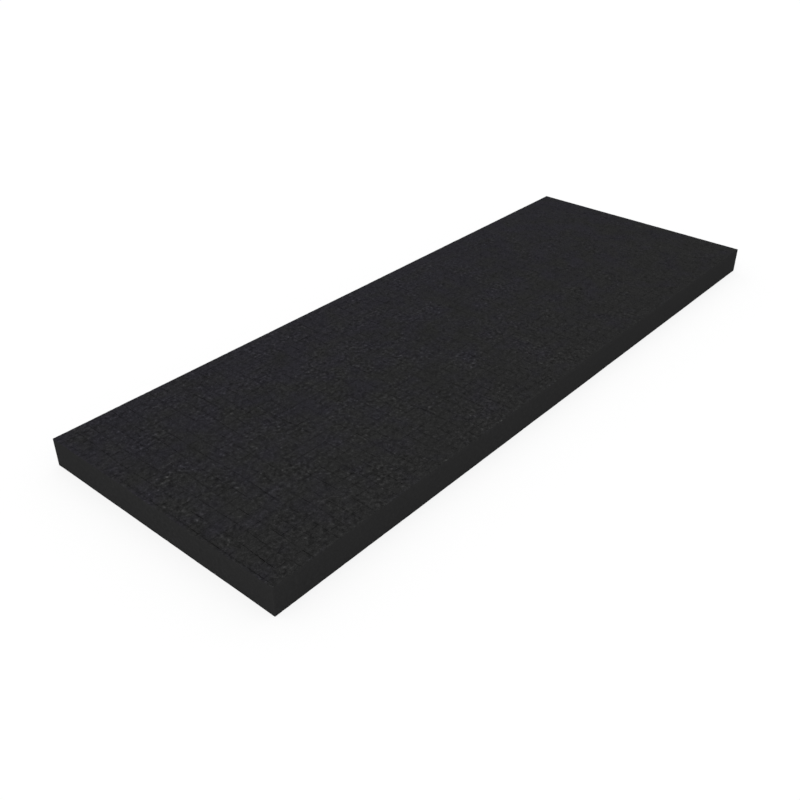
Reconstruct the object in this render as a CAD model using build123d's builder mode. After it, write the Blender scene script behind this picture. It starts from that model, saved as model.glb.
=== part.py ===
from build123d import *
import os

# Foam insert: one rectangular slab of black fine-celled foam, pre-cut from above into a grid of small blocks.
# The blocks hang together on a whole floor, and as many are plucked out as the thing to be kept needs.
# It lies flat, as it does on the floor of the case that it fills.
# X runs along its length, Y across its width, and Z up from the face that it lies on.
# The origin is at the middle of that face.

# Driving dimensions, in millimetres
insert_length = 1080.0
insert_width = 390.0
sheet_thickness = 40.0
# The blocks, and what is left whole under them and round them
block_length = 18.8
block_width = 16.95
floor_thickness = 8.0
end_strip = 5.0
least_strip = 12.0
# Foam springs back behind the blade: a cut is closed at its foot and gapes a little at its mouth.
cut_mouth = 0.3
# How far a cut's section stands above the sheet, so that it opens the upper face
cut_overrun = 1.0

# The grid has whole blocks only. It starts one strip in from the left end and is centred across the width.
blocks_along = int((insert_length - end_strip - least_strip) / block_length)
blocks_across = int((insert_width - 2 * least_strip) / block_width)
grid_length = blocks_along * block_length
grid_width = blocks_across * block_width
grid_middle = end_strip + (grid_length - insert_length) / 2
grid_foot = (grid_middle, 0, floor_thickness)

# A cut's section is a wedge that stands on its foot.
cut_depth = sheet_thickness - floor_thickness
section_height = cut_depth + cut_overrun
section_width = cut_mouth * section_height / cut_depth
wedge = [(0, 0), (section_width / 2, section_height), (-section_width / 2, section_height)]

with BuildPart() as foam_insert:
    # The slab: the outline that the knife cuts, as deep as the sheet
    with BuildSketch(Plane.XY):
        Rectangle(insert_length, insert_width)
    extrude(amount=sheet_thickness)
    # The cuts across the slab, from the first lengthwise cut to the last
    with BuildSketch(Plane(grid_foot, x_dir=(1, 0, 0), z_dir=(0, -1, 0))):
        with GridLocations(block_length, block_length, blocks_along + 1, 1):
            Polygon(*wedge, align=None)
    extrude(amount=grid_width / 2, both=True, mode=Mode.SUBTRACT)
    # The lengthwise cuts, from the first cut across the slab to the last
    with BuildSketch(Plane(grid_foot, x_dir=(0, 1, 0), z_dir=(1, 0, 0))):
        with GridLocations(block_width, block_width, blocks_across + 1, 1):
            Polygon(*wedge, align=None)
    extrude(amount=grid_length / 2, both=True, mode=Mode.SUBTRACT)
foam_insert.part.label = "foam_insert"

os.makedirs("parts", exist_ok=True)
export_step(foam_insert.part, "parts/foam_insert.step")
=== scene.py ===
import math

import bpy
import numpy as np
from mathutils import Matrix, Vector
from mathutils.geometry import delaunay_2d_cdt


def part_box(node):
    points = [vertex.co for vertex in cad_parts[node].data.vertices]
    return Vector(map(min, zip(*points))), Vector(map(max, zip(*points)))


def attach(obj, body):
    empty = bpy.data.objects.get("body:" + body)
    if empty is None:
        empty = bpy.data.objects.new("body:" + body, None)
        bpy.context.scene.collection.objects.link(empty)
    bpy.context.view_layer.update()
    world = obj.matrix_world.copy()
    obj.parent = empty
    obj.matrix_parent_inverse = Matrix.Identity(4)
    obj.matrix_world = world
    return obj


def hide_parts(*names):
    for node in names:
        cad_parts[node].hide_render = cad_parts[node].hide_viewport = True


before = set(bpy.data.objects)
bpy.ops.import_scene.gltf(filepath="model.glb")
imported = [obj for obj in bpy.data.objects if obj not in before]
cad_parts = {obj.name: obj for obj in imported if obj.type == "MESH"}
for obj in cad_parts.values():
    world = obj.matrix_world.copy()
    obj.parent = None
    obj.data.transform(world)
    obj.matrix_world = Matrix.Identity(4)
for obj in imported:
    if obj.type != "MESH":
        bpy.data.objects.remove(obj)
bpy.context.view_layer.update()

# The foam insert's looks: a slab of black fine-celled foam, pre-cut into blocks, with knife-cut sides.
# Lengths are in metres. X runs along the slab, Y across it and Z up from the face that it lies on.
MM = 0.001
NODE = "foam_insert"

# The slab's form, which is the solid's
slab_low, slab_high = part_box(NODE)
length, width, thickness = slab_high - slab_low
block_length = 18.8 * MM
block_width = 16.95 * MM
floor_thickness = 8.0 * MM
end_strip = 5.0 * MM
least_strip = 12.0 * MM
cut_mouth = 0.3 * MM
cut_depth = thickness - floor_thickness
blocks_along = int((length - end_strip - least_strip) / block_length)
blocks_across = int((width - 2 * least_strip) / block_width)
cuts_x = end_strip - length / 2 + block_length * np.arange(blocks_along + 1)
cuts_y = block_width * (np.arange(blocks_across + 1) - blocks_across / 2)
# Foam gives at the blade, so the outer edges are slightly round.
corner_radius = 1.0 * MM
edge_radius = 0.6 * MM

# The mesh, finest on the upper face
upper_pitch = 3.1 * MM
side_pitch = 5.0 * MM
lower_pitch = 8.0 * MM
rim_margin = 2.0 * MM
rim_lines = 2
edge_turns = 2
jitter_share = 0.28
relief_seed = 11
weld_distance = 0.001 * MM
# What the triangulation of the lower face gives back: the triangles inside its border
INSIDE_ONLY = 1

# Cuts: their lips are ragged and pressed in a little, and each block sits at its own height.
# A mouth's width is a share of the solid's. Each block's edge and each point of a lip set it by chance,
# and the cuts across the slab gape more than those along it. It falls from the left end to the right one
# and, beside the loose strip at the left end, from the front to the back.
edge_shares = (0.1, 1.5)
lip_shares = (0.05, 1.55)
across_share = 0.95
along_share = 0.7
end_shares = (1.3, 0.25)
loose_shares = (1.25, 0.3)
# The lips beside the loose strip's cut get more painted shade
loose_shade_share = 2.0
lip_drop = 0.12 * MM
block_drop = 0.12 * MM
score_depth = 0.8 * MM
# The cuts lean and stray from their lines, though not at the rim.
lean_share = 0.012
lean_ease = 7.5 * MM
stray = 1.5 * MM
stray_lengths = (310.0 * MM, 131.0 * MM)
stray_ease = 15.0 * MM

# Relief: cells that the knife opened, always cut into the slab and never standing proud of it
pit_depth = 0.16 * MM
pit_limit = 1.0 * MM
pit_power = 1.5
void_count = 700
void_radius_range = (2.5 * MM, 4.0 * MM)
void_depth_range = (0.3 * MM, 0.8 * MM)
side_pit_depth = 0.1 * MM
rim_notch_depth = 0.12 * MM
rim_notch_limit = 0.35 * MM
side_wave_depth = 0.25 * MM
side_wave_lengths = (310.0 * MM, 173.0 * MM, 97.0 * MM)
corner_ease = 12.0 * MM

# The map that a bake of the finish uses, on which the walls of the cuts lie apart from the faces
wall_map_width = 0.5 * MM
map_gap = 4.0 * MM

# The finish: cells, and blotches a few cells wide
cell_size = 1.25 * MM
blotch_size = 5.0 * MM
contrast_size = 45.0 * MM
mottle_size = 50.0 * MM
cast_size = 38.0 * MM
cell_relief = 0.5 * MM
blotch_relief = 0.8 * MM
blotch_detail = 1.0
patch_detail = 2.0
mottle_detail = 3.0

# Weights of what lightens and darkens the foam's colour, painted glint and painted shade among them. A
# weight of one changes its tone e times.
# The lips of a cut have a share of its painted shade.
blotch_weight = 1.06
cell_weight = 0.08
cup_shade_and_highlight_weight = 0.85
painted_glint_weight = 2.0
pit_shade_weight = 0.6
cut_shade_weight = 3.0
lip_shade_share = 0.026
mottle_weight = 0.25
# The level above which a blotch gets a painted glint
painted_glint_level = 0.15
contrast_swing = 4.5
contrast_fade = 1.6
most_contrast_share = 1.12
middle_contrast_share = 0.86
least_contrast_share = 0.15
side_contrast_share = 0.25

# Colours, linear, and roughness
foam_black = (0.0245, 0.0245, 0.0247)
foam_violet = (0.0245, 0.0238, 0.0283)
cast_swing = 3.2
least_cast = -0.06
cast_start = -0.12
cast_rise = 1.0
wall_roughness = 0.96
roughness_swing = 0.12

# View, and the studio round the slab
view_point = Vector((-0.96835, -0.73075, 0.69520))
view_target = Vector((-0.15278, -0.02693, 0.0))
view_angle = math.radians(46.18)
floor_size = 40.0
floor_grey = (0.8, 0.8, 0.8, 1.0)
white = (1.0, 1.0, 1.0, 1.0)
floor_glow = 0.73
floor_shadow_share = 0.35
world_light = 0.7
key_direction = Vector((-1.40, -0.68, 1.95))
key_spread = math.radians(50.0)
key_power = 1.19


def mesh_lines(extent, cuts):
    """Places of the mesh lines across the slab, and which of them run along the foot of a cut."""
    straight = extent / 2 - corner_radius
    starts = np.append(-straight, cuts + cut_mouth / 2)
    ends = np.append(cuts - cut_mouth / 2, straight)
    places, feet = [-extent / 2], []
    for start, end in zip(starts, ends):
        steps = max(round((end - start) / upper_pitch), 1)
        places += np.linspace(start, end, steps + 1).tolist()
        feet.append(len(places))
        places.append(end + cut_mouth / 2)
    # The last stretch of foam ends at the far corner and not at a cut
    places[-1] = extent / 2
    return np.array(places), np.array(feet[:-1])


def beside_cuts(feet, count):
    """Which of the mesh lines are a cut's foot or one of its lips."""
    beside = np.zeros(count, bool)
    beside[feet - 1] = beside[feet] = beside[feet + 1] = True
    return beside


# The upper face's mesh lines, and those of the loose strip with both lips of its cut
x_lines, x_feet = mesh_lines(length, cuts_x)
y_lines, y_feet = mesh_lines(width, cuts_y)
columns, rows = len(x_lines), len(y_lines)
x_beside, y_beside = beside_cuts(x_feet, columns), beside_cuts(y_feet, rows)
loose_strip = slice(0, x_feet[0] + 2)


def quads(block):
    """Faces between neighbours in a block of point numbers."""
    corners = block[:-1, :-1], block[1:, :-1], block[1:, 1:], block[:-1, 1:]
    return np.stack(corners, -1).reshape(-1, 4)


def border_loop():
    """Index pairs of the upper face's border, anticlockwise from above, each corner once."""
    front = [(i, 0) for i in range(columns - 1)]
    right = [(columns - 1, j) for j in range(rows - 1)]
    back = [(i, rows - 1) for i in range(columns - 1, 0, -1)]
    left = [(0, j) for j in range(rows - 1, 0, -1)]
    return np.array(front + right + back + left)


def ring_places():
    """Inset and height of each ring of points down the sides, from the upper face to the lower one."""
    turn = np.linspace(0, math.pi / 2, edge_turns + 1)
    inset = edge_radius * (1 - np.sin(turn))
    drop = edge_radius * (1 - np.cos(turn))
    steps = round((thickness - 2 * edge_radius) / side_pitch)
    heights = np.linspace(thickness - edge_radius, edge_radius, steps + 1)
    upper_turn = list(zip(inset, thickness - drop))
    straight = [(0.0, z) for z in heights[1:-1]]
    lower_turn = list(zip(inset[::-1], drop[::-1]))
    return upper_turn + straight + lower_turn


def pits(rng, shape, depth, limit):
    """Random depths: about half of the points stay on the cut face, and a few lie deep."""
    return np.minimum(depth * np.clip(rng.standard_normal(shape), 0, None) ** pit_power, limit)


def sink_voids(rng, depths):
    """Larger cells, sunk into the depths of the upper face."""
    for _ in range(void_count):
        x, y = rng.uniform(x_lines[0], x_lines[-1]), rng.uniform(y_lines[0], y_lines[-1])
        radius, depth = rng.uniform(*void_radius_range), rng.uniform(*void_depth_range)
        i = slice(*np.searchsorted(x_lines, (x - radius, x + radius)))
        j = slice(*np.searchsorted(y_lines, (y - radius, y + radius)))
        reach = np.hypot(x_lines[i, None] - x, y_lines[None, j] - y) / radius
        depths[i, j] = np.maximum(depths[i, j], depth * np.clip(1 - reach**2, 0, None))


def rim_ease(places, reach):
    """Zero at the two ends of a line of places, rising to one over the reach from them."""
    return np.clip((abs(places[0]) - abs(places)) / reach, 0, 1)


def strays(rng, cuts, across, along):
    """How far each point moves sideways, as each cut strays from its line, though not at the rim."""
    phases = rng.uniform(0, 2 * math.pi, (len(cuts), 1, len(stray_lengths)))
    waves = np.sin(2 * math.pi * along[:, None] / stray_lengths + phases).mean(-1)
    moves = np.column_stack([np.interp(across, cuts, wave) for wave in stray * waves.T])
    return moves * rim_ease(across, stray_ease)[:, None]


def flat_places(rng):
    """Places of all the mesh points seen from above, moved with the cuts, which stray and lean."""
    places = np.stack(np.meshgrid(x_lines, y_lines, indexing="ij"), -1)
    lean = lean_share * rim_ease(x_lines, lean_ease)[:, None] * y_lines
    places[..., 0] += strays(rng, cuts_x, x_lines, y_lines) + lean
    places[..., 1] += strays(rng, cuts_y, y_lines, x_lines).T
    return places


def sink_cuts(depths):
    """Sinks the feet of the cuts: deep between the blocks, and only scored across the rim."""
    in_x = (x_lines > cuts_x[0] - weld_distance) & (x_lines < cuts_x[-1] + weld_distance)
    in_y = (y_lines > cuts_y[0] - weld_distance) & (y_lines < cuts_y[-1] + weld_distance)
    depths[x_feet, :] = np.where(in_y, cut_depth, score_depth)[None, :]
    depths[:, y_feet] = np.where(in_x, cut_depth, score_depth)[:, None]


def mouth_shares(rng, cuts, along, ends):
    """How wide each cut gapes at places along it, by the block's edge there and by chance."""
    edges = rng.uniform(*edge_shares, (len(cuts), len(ends) + 1))
    ragged = rng.uniform(*lip_shares, (len(cuts), len(along)))
    return edges[:, np.searchsorted(ends, along)] * ragged


def gape_shares():
    """How much the cuts gape over the face: most at the left end, where the narrow strip is loose."""
    gape = np.interp(x_lines, (-length / 2, length / 2), end_shares)[:, None].repeat(rows, 1)
    gape[loose_strip] *= np.linspace(*loose_shares, rows)
    return gape


def place_lips(rng, points, gape):
    """Sets the lips of each cut half a mouth from its foot."""
    for side in (-1, 1):
        x_shares = across_share * mouth_shares(rng, cuts_x, y_lines, cuts_y) * gape[x_feet]
        y_shares = along_share * mouth_shares(rng, cuts_y, x_lines, cuts_x).T * gape[:, y_feet]
        points[x_feet + side, :, 0] = points[x_feet, :, 0] + side * cut_mouth / 2 * x_shares
        points[:, y_feet + side, 1] = points[:, y_feet, 1] + side * cut_mouth / 2 * y_shares


def upper_face(rng, places):
    """Points of the upper face, all but its border placed, with their shares of painted pit shade and
    painted lip shade.
    """
    shape = columns, rows
    half = np.array((length, width)) / 2 - rim_margin
    beside = x_beside[:, None] | y_beside[None, :]
    depths = pits(rng, shape, pit_depth, pit_limit)
    sink_voids(rng, depths)
    # Painted shade, darker the deeper a point is sunk
    pit = depths / pit_limit
    depths[beside] = lip_drop
    block = np.searchsorted(cuts_x, x_lines)[:, None], np.searchsorted(cuts_y, y_lines)[None, :]
    depths += rng.uniform(0, block_drop, (len(cuts_x) + 1, len(cuts_y) + 1))[block]
    sink_cuts(depths)
    gape = gape_shares()
    # Painted shade on the lips beside each cut, more where the cuts gape and most beside the loose strip
    lip = beside * lip_shade_share * gape
    lip[loose_strip] *= loose_shade_share

    points = np.dstack((np.clip(places, -half, half), np.full(shape, thickness)))
    sunk = points.copy()
    sunk[..., 2] -= depths
    jitter = rng.uniform(-1, 1, (*shape, 2)) * jitter_share * upper_pitch
    jitter[beside] = 0
    sunk[..., :2] += jitter
    place_lips(rng, sunk, gape)
    # The lines next to the rim stay flat
    inside = (slice(rim_lines, -rim_lines),) * 2
    shares = np.zeros((*shape, 2))
    points[inside] = sunk[inside]
    shares[inside] = np.stack((pit, lip), -1)[inside]
    return points, shares


def side_rings(rng, nominal, beside):
    """Rings of points down the sides, which follow the knife's slow wave and have shallow cells."""
    straight = np.array((length, width)) / 2 - corner_radius
    core = np.clip(nominal, -straight, straight)
    outward = (nominal - core) / np.linalg.norm(nominal - core, axis=1)[:, None]
    around = len(nominal)
    place = np.cumsum(np.linalg.norm(nominal - np.roll(nominal, 1, axis=0), axis=1))
    phases = rng.uniform(0, 2 * math.pi, len(side_wave_lengths))
    wave = np.sin(2 * math.pi * place[:, None] / side_wave_lengths + phases).sum(1)
    wave = side_wave_depth * (wave - wave.min()) / np.ptp(wave)
    notches = pits(rng, around, rim_notch_depth, rim_notch_limit)
    # Towards a corner the sides come back to the true outline
    from_corner = (np.array((length, width)) / 2 - abs(nominal)).max(1)
    ease = np.clip(from_corner / corner_ease, 0, 1)
    rings = []
    for inset, z in ring_places():
        cells = notches if inset else pits(rng, around, side_pit_depth, rim_notch_limit)
        reach = corner_radius - inset - ease * (wave + np.where(beside, 0, cells))
        rings.append(np.column_stack((core + reach[:, None] * outward, np.full(around, z))))
    return rings


def lower_face(rng, rim):
    """A coarse scatter of points inside the lowest ring, and the triangles that join the two."""
    half = np.array((length, width)) / 2 - rim_margin
    axes = [np.arange(lower_pitch - reach, reach, lower_pitch) for reach in half]
    scatter = np.stack(np.meshgrid(*axes, indexing="ij"), -1).reshape(-1, 2)
    scatter += rng.uniform(-1, 1, scatter.shape) * jitter_share * lower_pitch
    scatter = np.clip(scatter, -half, half)
    flat = [Vector(p) for p in np.concatenate((rim[:, :2], scatter))]
    edges = [(k, (k + 1) % len(rim)) for k in range(len(rim))]
    _, _, triangles, origins, _, _ = delaunay_2d_cdt(flat, edges, [], INSIDE_ONLY, weld_distance)
    triangles = [[origins[k][0] for k in reversed(triangle)] for triangle in triangles]
    depths = pits(rng, len(scatter), pit_depth, pit_limit)
    return np.column_stack((scatter, depths)), np.array(triangles)


def upper_faces(grid):
    """Faces of the upper grid of point numbers: the tops, and the walls of the cuts across and along."""
    faces = quads(grid)
    across = np.isin(faces, grid[x_feet, :]).any(1)
    along = np.isin(faces, grid[:, y_feet]).any(1) & ~across
    return faces[~(across | along)], faces[across], faces[along]


def side_faces(rings):
    """Faces of the front, right, back and left sides, between rings of point numbers."""
    closed = np.column_stack((rings, rings[:, :1]))
    corners = np.cumsum((0, columns - 1, rows - 1, columns - 1, rows - 1))
    return [quads(closed[:, start : end + 1]) for start, end in zip(corners, corners[1:])]


def wall_places(feet, count):
    """Places of the cuts' lips and feet on the bake's map, where the walls lie side by side."""
    places = np.zeros(count)
    for step in range(3):
        places[feet - 1 + step] = wall_map_width * (2 * np.arange(len(feet)) + step)
    return places


def map_sheets(points, tops, sides, underside, across_walls, along_walls):
    """Flat places of the corners of each group of faces, for the map that a bake of the finish uses."""
    column, row = np.divmod(np.arange(columns * rows), rows)
    x, y = x_lines[column], y_lines[row]
    x_walls, y_walls = wall_places(x_feet, columns)[column], wall_places(y_feet, rows)[row]
    return [
        np.column_stack((x, y))[tops.ravel()],
        *(points[side.ravel()][:, (axis, 2)] for side, axis in zip(sides, (0, 1, 0, 1))),
        points[underside.ravel()][:, :2],
        np.column_stack((-y, x_walls))[across_walls.ravel()],
        np.column_stack((x, y_walls))[along_walls.ravel()],
    ]


def add_bake_map(mesh, sheets):
    """Lays the sheets one above the other on the mesh's map for a bake."""
    sheets = [sheet - sheet.min(0) for sheet in sheets]
    heights = [sheet[:, 1].max() + map_gap for sheet in sheets]
    lows = np.append(0, np.cumsum(heights)[:-1])
    places = np.concatenate([sheet + (0, low) for sheet, low in zip(sheets, lows)]) + map_gap
    places /= places.max() + map_gap
    mesh.uv_layers.new(name="OFBake").uv.foreach_set("vector", places.ravel())


def add_values(mesh, name, kind, domain, values):
    """Gives the mesh a named value at each of its points, edges or corners."""
    mesh.attributes.new(name, kind, domain).data.foreach_set("value", values)


def foam_mesh():
    """The slab as one closed mesh, whose points carry painted shade by the depth of their pits and know
    if they are on a side, and whose corners carry the cuts' painted shade.
    """
    rng = np.random.default_rng(relief_seed)
    i, j = border_loop().T
    places = flat_places(rng)
    upper, upper_shares = upper_face(rng, places)
    rings = side_rings(rng, places[i, j], x_beside[i] | y_beside[j])
    upper[i, j] = rings[0]
    lower, triangles = lower_face(rng, rings[-1])
    points = np.concatenate((upper.reshape(-1, 3), *rings[1:], lower))

    # Point numbers: the upper face's grid, the rings below its border, and the scatter of the lower face
    grid = np.arange(columns * rows).reshape(columns, rows)
    below = grid.size + np.arange((len(rings) - 1) * len(i)).reshape(-1, len(i))
    ring_index = np.vstack((grid[i, j], below))
    scatter_index = np.arange(len(points) - len(lower), len(points))
    tops, across_walls, along_walls = upper_faces(grid)
    sides = side_faces(ring_index)
    underside = np.append(ring_index[-1], scatter_index)[triangles]
    faces = [tops, *sides, underside, across_walls, along_walls]
    mesh = bpy.data.meshes.new("foam_slab")
    mesh.from_pydata(points.tolist(), [], [face for group in faces for face in group.tolist()])
    mesh.shade_smooth()

    on_side = np.zeros(len(points))
    for indices, (inset, _) in zip(ring_index, ring_places()):
        on_side[indices] = inset == 0
    # Shares of painted shade: by the depth of each pit, and on the lips beside the cuts
    pit, shade = np.zeros((2, len(points)))
    pit[: grid.size], shade[: grid.size] = upper_shares.reshape(-1, 2).T
    pit[scatter_index] = lower[:, 2] / pit_limit
    add_values(mesh, "on_side", "FLOAT", "POINT", on_side)
    add_values(mesh, "pit", "FLOAT", "POINT", pit)

    # The walls of the cuts get painted shade that makes them nearly black, and meet the blocks' upper
    # faces at sharp lips
    edges = np.empty(len(mesh.loops), np.int32)
    mesh.loops.foreach_get("edge_index", edges)
    on_walls = slice(-across_walls.size - along_walls.size, None)
    sharp = np.zeros(len(mesh.edges), bool)
    sharp[edges[on_walls]] = True
    cut = shade[np.concatenate([group.ravel() for group in faces])]
    cut[on_walls] = 1
    add_values(mesh, "cut", "FLOAT", "CORNER", cut)
    add_values(mesh, "sharp_edge", "BOOLEAN", "EDGE", sharp)
    add_bake_map(mesh, map_sheets(points, tops, sides, underside, across_walls, along_walls))
    mesh.update()
    return mesh


class Nodes:
    """A node tree that is built up one node at a time."""

    def __init__(self, tree):
        self.tree = tree
        tree.nodes.clear()

    def add(self, kind, inputs=None, **settings):
        """Adds a node with its settings, and feeds its inputs by name or by number."""
        node = self.tree.nodes.new(kind)
        for name, value in settings.items():
            setattr(node, name, value)
        for key, value in (inputs or {}).items():
            self.feed(node.inputs[key], value)
        return node

    def feed(self, socket, value):
        """Links a socket to another one, or sets it to a constant."""
        if isinstance(value, bpy.types.NodeSocket):
            self.tree.links.new(value, socket)
        else:
            socket.default_value = value

    def math(self, operation, *values):
        """What a math node makes of the values."""
        return self.add("ShaderNodeMath", dict(enumerate(values)), operation=operation).outputs[0]

    def vector(self, operation, *values):
        """What a vector math node makes of the values."""
        return self.add("ShaderNodeVectorMath", dict(enumerate(values)), operation=operation).outputs[0]

    def attribute(self, name):
        """A named value of the mesh."""
        return self.add("ShaderNodeAttribute", attribute_name=name).outputs["Fac"]

    def centred(self, value):
        """A value between zero and one, moved to lie about zero."""
        return self.math("SUBTRACT", value, 0.5)

    def noise(self, place, size, detail):
        """Noise about zero, with features of one size and as many halvings of it as the detail says."""
        node = self.add("ShaderNodeTexNoise", {"Vector": place, "Scale": 1 / size, "Detail": detail})
        return self.centred(node.outputs[0])

    def mixed(self, share, first, second):
        """A shader node between two others."""
        return self.add("ShaderNodeMixShader", {0: share, 1: first.outputs[0], 2: second.outputs[0]})

    def weighed(self, terms):
        """The sum of values times their weights."""
        total = 0.0
        for value, weight in terms:
            total = self.math("MULTIPLY_ADD", value, weight, total)
        return total


def blotches(nodes, place, along):
    """Blotches a few cells wide, and the grain that they and their painted glints give the foam's tone.
    """
    blotch = nodes.noise(place, blotch_size, blotch_detail)
    # A few of them get a painted glint: lighter colour that stands for light off the cell walls
    painted_glint = nodes.math("MAXIMUM", nodes.math("SUBTRACT", blotch, painted_glint_level), 0.0)
    grain = nodes.weighed(((blotch, blotch_weight), (painted_glint, painted_glint_weight)))
    # The grain is strong in some patches of the sheet, and weak in others and towards its right end
    strength = nodes.math("MULTIPLY_ADD", along, -contrast_fade / length, middle_contrast_share)
    strength = nodes.math("MINIMUM", strength, most_contrast_share)
    patches = nodes.noise(place, contrast_size, patch_detail)
    strength = nodes.math("MULTIPLY_ADD", patches, contrast_swing, strength)
    return blotch, nodes.math("MULTIPLY", grain, nodes.math("MAXIMUM", strength, least_contrast_share))


def foam_colour(nodes, place, across, face):
    """Black with a violet cast on the sheet's faces, in patches, and most towards the back."""
    towards_back = nodes.math("MULTIPLY_ADD", across, cast_rise / width, cast_start + cast_rise / 2)
    patches = nodes.noise(place, cast_size, patch_detail)
    violet = nodes.math("MULTIPLY_ADD", patches, cast_swing, towards_back)
    violet = nodes.add("ShaderNodeClamp", {"Value": violet, "Min": least_cast}).outputs[0]
    violet = nodes.math("MULTIPLY", violet, face)
    cast = tuple(b - a for a, b in zip(foam_black, foam_violet))
    return nodes.vector("MULTIPLY_ADD", violet, cast, foam_black)


def foam_material():
    """Black fine-celled foam: cells with painted shade in their cups, blotches a few cells wide with
    painted glints, painted shade in pits and in and beside the cuts, and a violet cast.
    """
    material = bpy.data.materials.new("black_foam")
    material.use_nodes = True
    nodes = Nodes(material.node_tree)
    place = nodes.add("ShaderNodeTexCoord").outputs["Object"]
    along, across, _ = nodes.add("ShaderNodeSeparateXYZ", {0: place}).outputs
    face = nodes.math("SUBTRACT", 1.0, nodes.attribute("on_side"))
    blotch, grain = blotches(nodes, place, along)

    # Cells are cups with a wall round each
    cells = nodes.add("ShaderNodeTexVoronoi", {"Vector": place, "Scale": 1 / cell_size})
    chance = nodes.add("ShaderNodeSeparateColor", {0: cells.outputs["Color"]}).outputs[0]
    # Painted shade darkens each cup towards its middle, and painted highlight lightens its wall
    wall = nodes.centred(cells.outputs["Distance"])

    # The knife closes the cells of the sides, so their tones are nearly alike
    tone = nodes.weighed(
        (
            (grain, 1.0),
            (nodes.centred(chance), cell_weight),
            (wall, cup_shade_and_highlight_weight),
            # Painted shade in the pits, and in and beside the cuts
            (nodes.attribute("pit"), -pit_shade_weight),
            (nodes.attribute("cut"), -cut_shade_weight),
            (nodes.noise(place, mottle_size, mottle_detail), mottle_weight),
        )
    )
    openness = nodes.math("MULTIPLY_ADD", face, 1 - side_contrast_share, side_contrast_share)
    tone = nodes.math("EXPONENT", nodes.math("MULTIPLY", tone, openness))

    height = nodes.weighed(((cells.outputs["Distance"], cell_relief), (blotch, blotch_relief)))
    height = nodes.math("MULTIPLY", height, openness)
    bump = nodes.add("ShaderNodeBump", {"Strength": 1.0, "Distance": 1.0, "Height": height})
    shader = nodes.add(
        "ShaderNodeBsdfPrincipled",
        {
            "Base Color": nodes.vector("MULTIPLY", foam_colour(nodes, place, across, face), tone),
            "Roughness": nodes.math("MULTIPLY_ADD", chance, -roughness_swing, wall_roughness),
            "Specular IOR Level": 0.0,
            "Normal": bump.outputs["Normal"],
        },
    )
    nodes.add("ShaderNodeOutputMaterial", {"Surface": shader.outputs[0]})
    return material


def seen_ray(nodes):
    """One for rays that show a surface, straight on or in gloss or glass, and zero for light."""
    path = nodes.add("ShaderNodeLightPath").outputs
    seen = nodes.math("MAXIMUM", path["Is Camera Ray"], path["Is Glossy Ray"])
    return nodes.math("MAXIMUM", seen, path["Is Transmission Ray"])


def add_floor():
    """A pale floor that is seen as white and keeps the slab's soft shadow."""
    bpy.ops.mesh.primitive_plane_add(size=floor_size)
    floor = bpy.context.object
    floor.name = "floor"
    material = bpy.data.materials.new("white_floor")
    material.use_nodes = True
    nodes = Nodes(material.node_tree)
    plain = nodes.add("ShaderNodeBsdfDiffuse", {"Color": floor_grey})
    glow = floor_glow / (1 - floor_shadow_share)
    lit = nodes.add("ShaderNodeEmission", {"Color": white, "Strength": glow})
    shown = nodes.mixed(floor_shadow_share, lit, plain)
    surface = nodes.mixed(seen_ray(nodes), plain, shown)
    nodes.add("ShaderNodeOutputMaterial", {"Surface": surface.outputs[0]})
    floor.data.materials.append(material)


def add_world():
    """White all round where it is seen, and a plain level of soft light elsewhere."""
    world = bpy.data.worlds.new("studio")
    world.use_nodes = True
    nodes = Nodes(world.node_tree)
    level = nodes.math("MAXIMUM", seen_ray(nodes), world_light)
    background = nodes.add("ShaderNodeBackground", {"Color": white, "Strength": level})
    nodes.add("ShaderNodeOutputWorld", {"Surface": background.outputs[0]})
    bpy.context.scene.world = world


def add_key_lamp():
    """A broad, far lamp that lights the slab and the floor evenly from one direction."""
    lamp = bpy.data.lights.new("key", "SUN")
    lamp.angle = key_spread
    lamp.energy = key_power
    holder = bpy.data.objects.new("key", lamp)
    holder.location = key_direction
    holder.rotation_euler = (-key_direction).to_track_quat("-Z", "Y").to_euler()
    bpy.context.scene.collection.objects.link(holder)


def add_camera():
    """A camera at the view's point, aimed at its target."""
    camera = bpy.data.objects.new("camera", bpy.data.cameras.new("camera"))
    camera.data.angle = view_angle
    camera.location = view_point
    camera.rotation_euler = (view_target - view_point).to_track_quat("-Z", "Y").to_euler()
    bpy.context.scene.collection.objects.link(camera)
    bpy.context.scene.camera = camera


slab = bpy.data.objects.new("foam_slab", foam_mesh())
slab.data.materials.append(foam_material())
bpy.context.scene.collection.objects.link(slab)
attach(slab, "root")
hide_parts(NODE)

add_floor()
add_world()
add_key_lamp()
add_camera()
bpy.context.scene.view_settings.view_transform = "Standard"
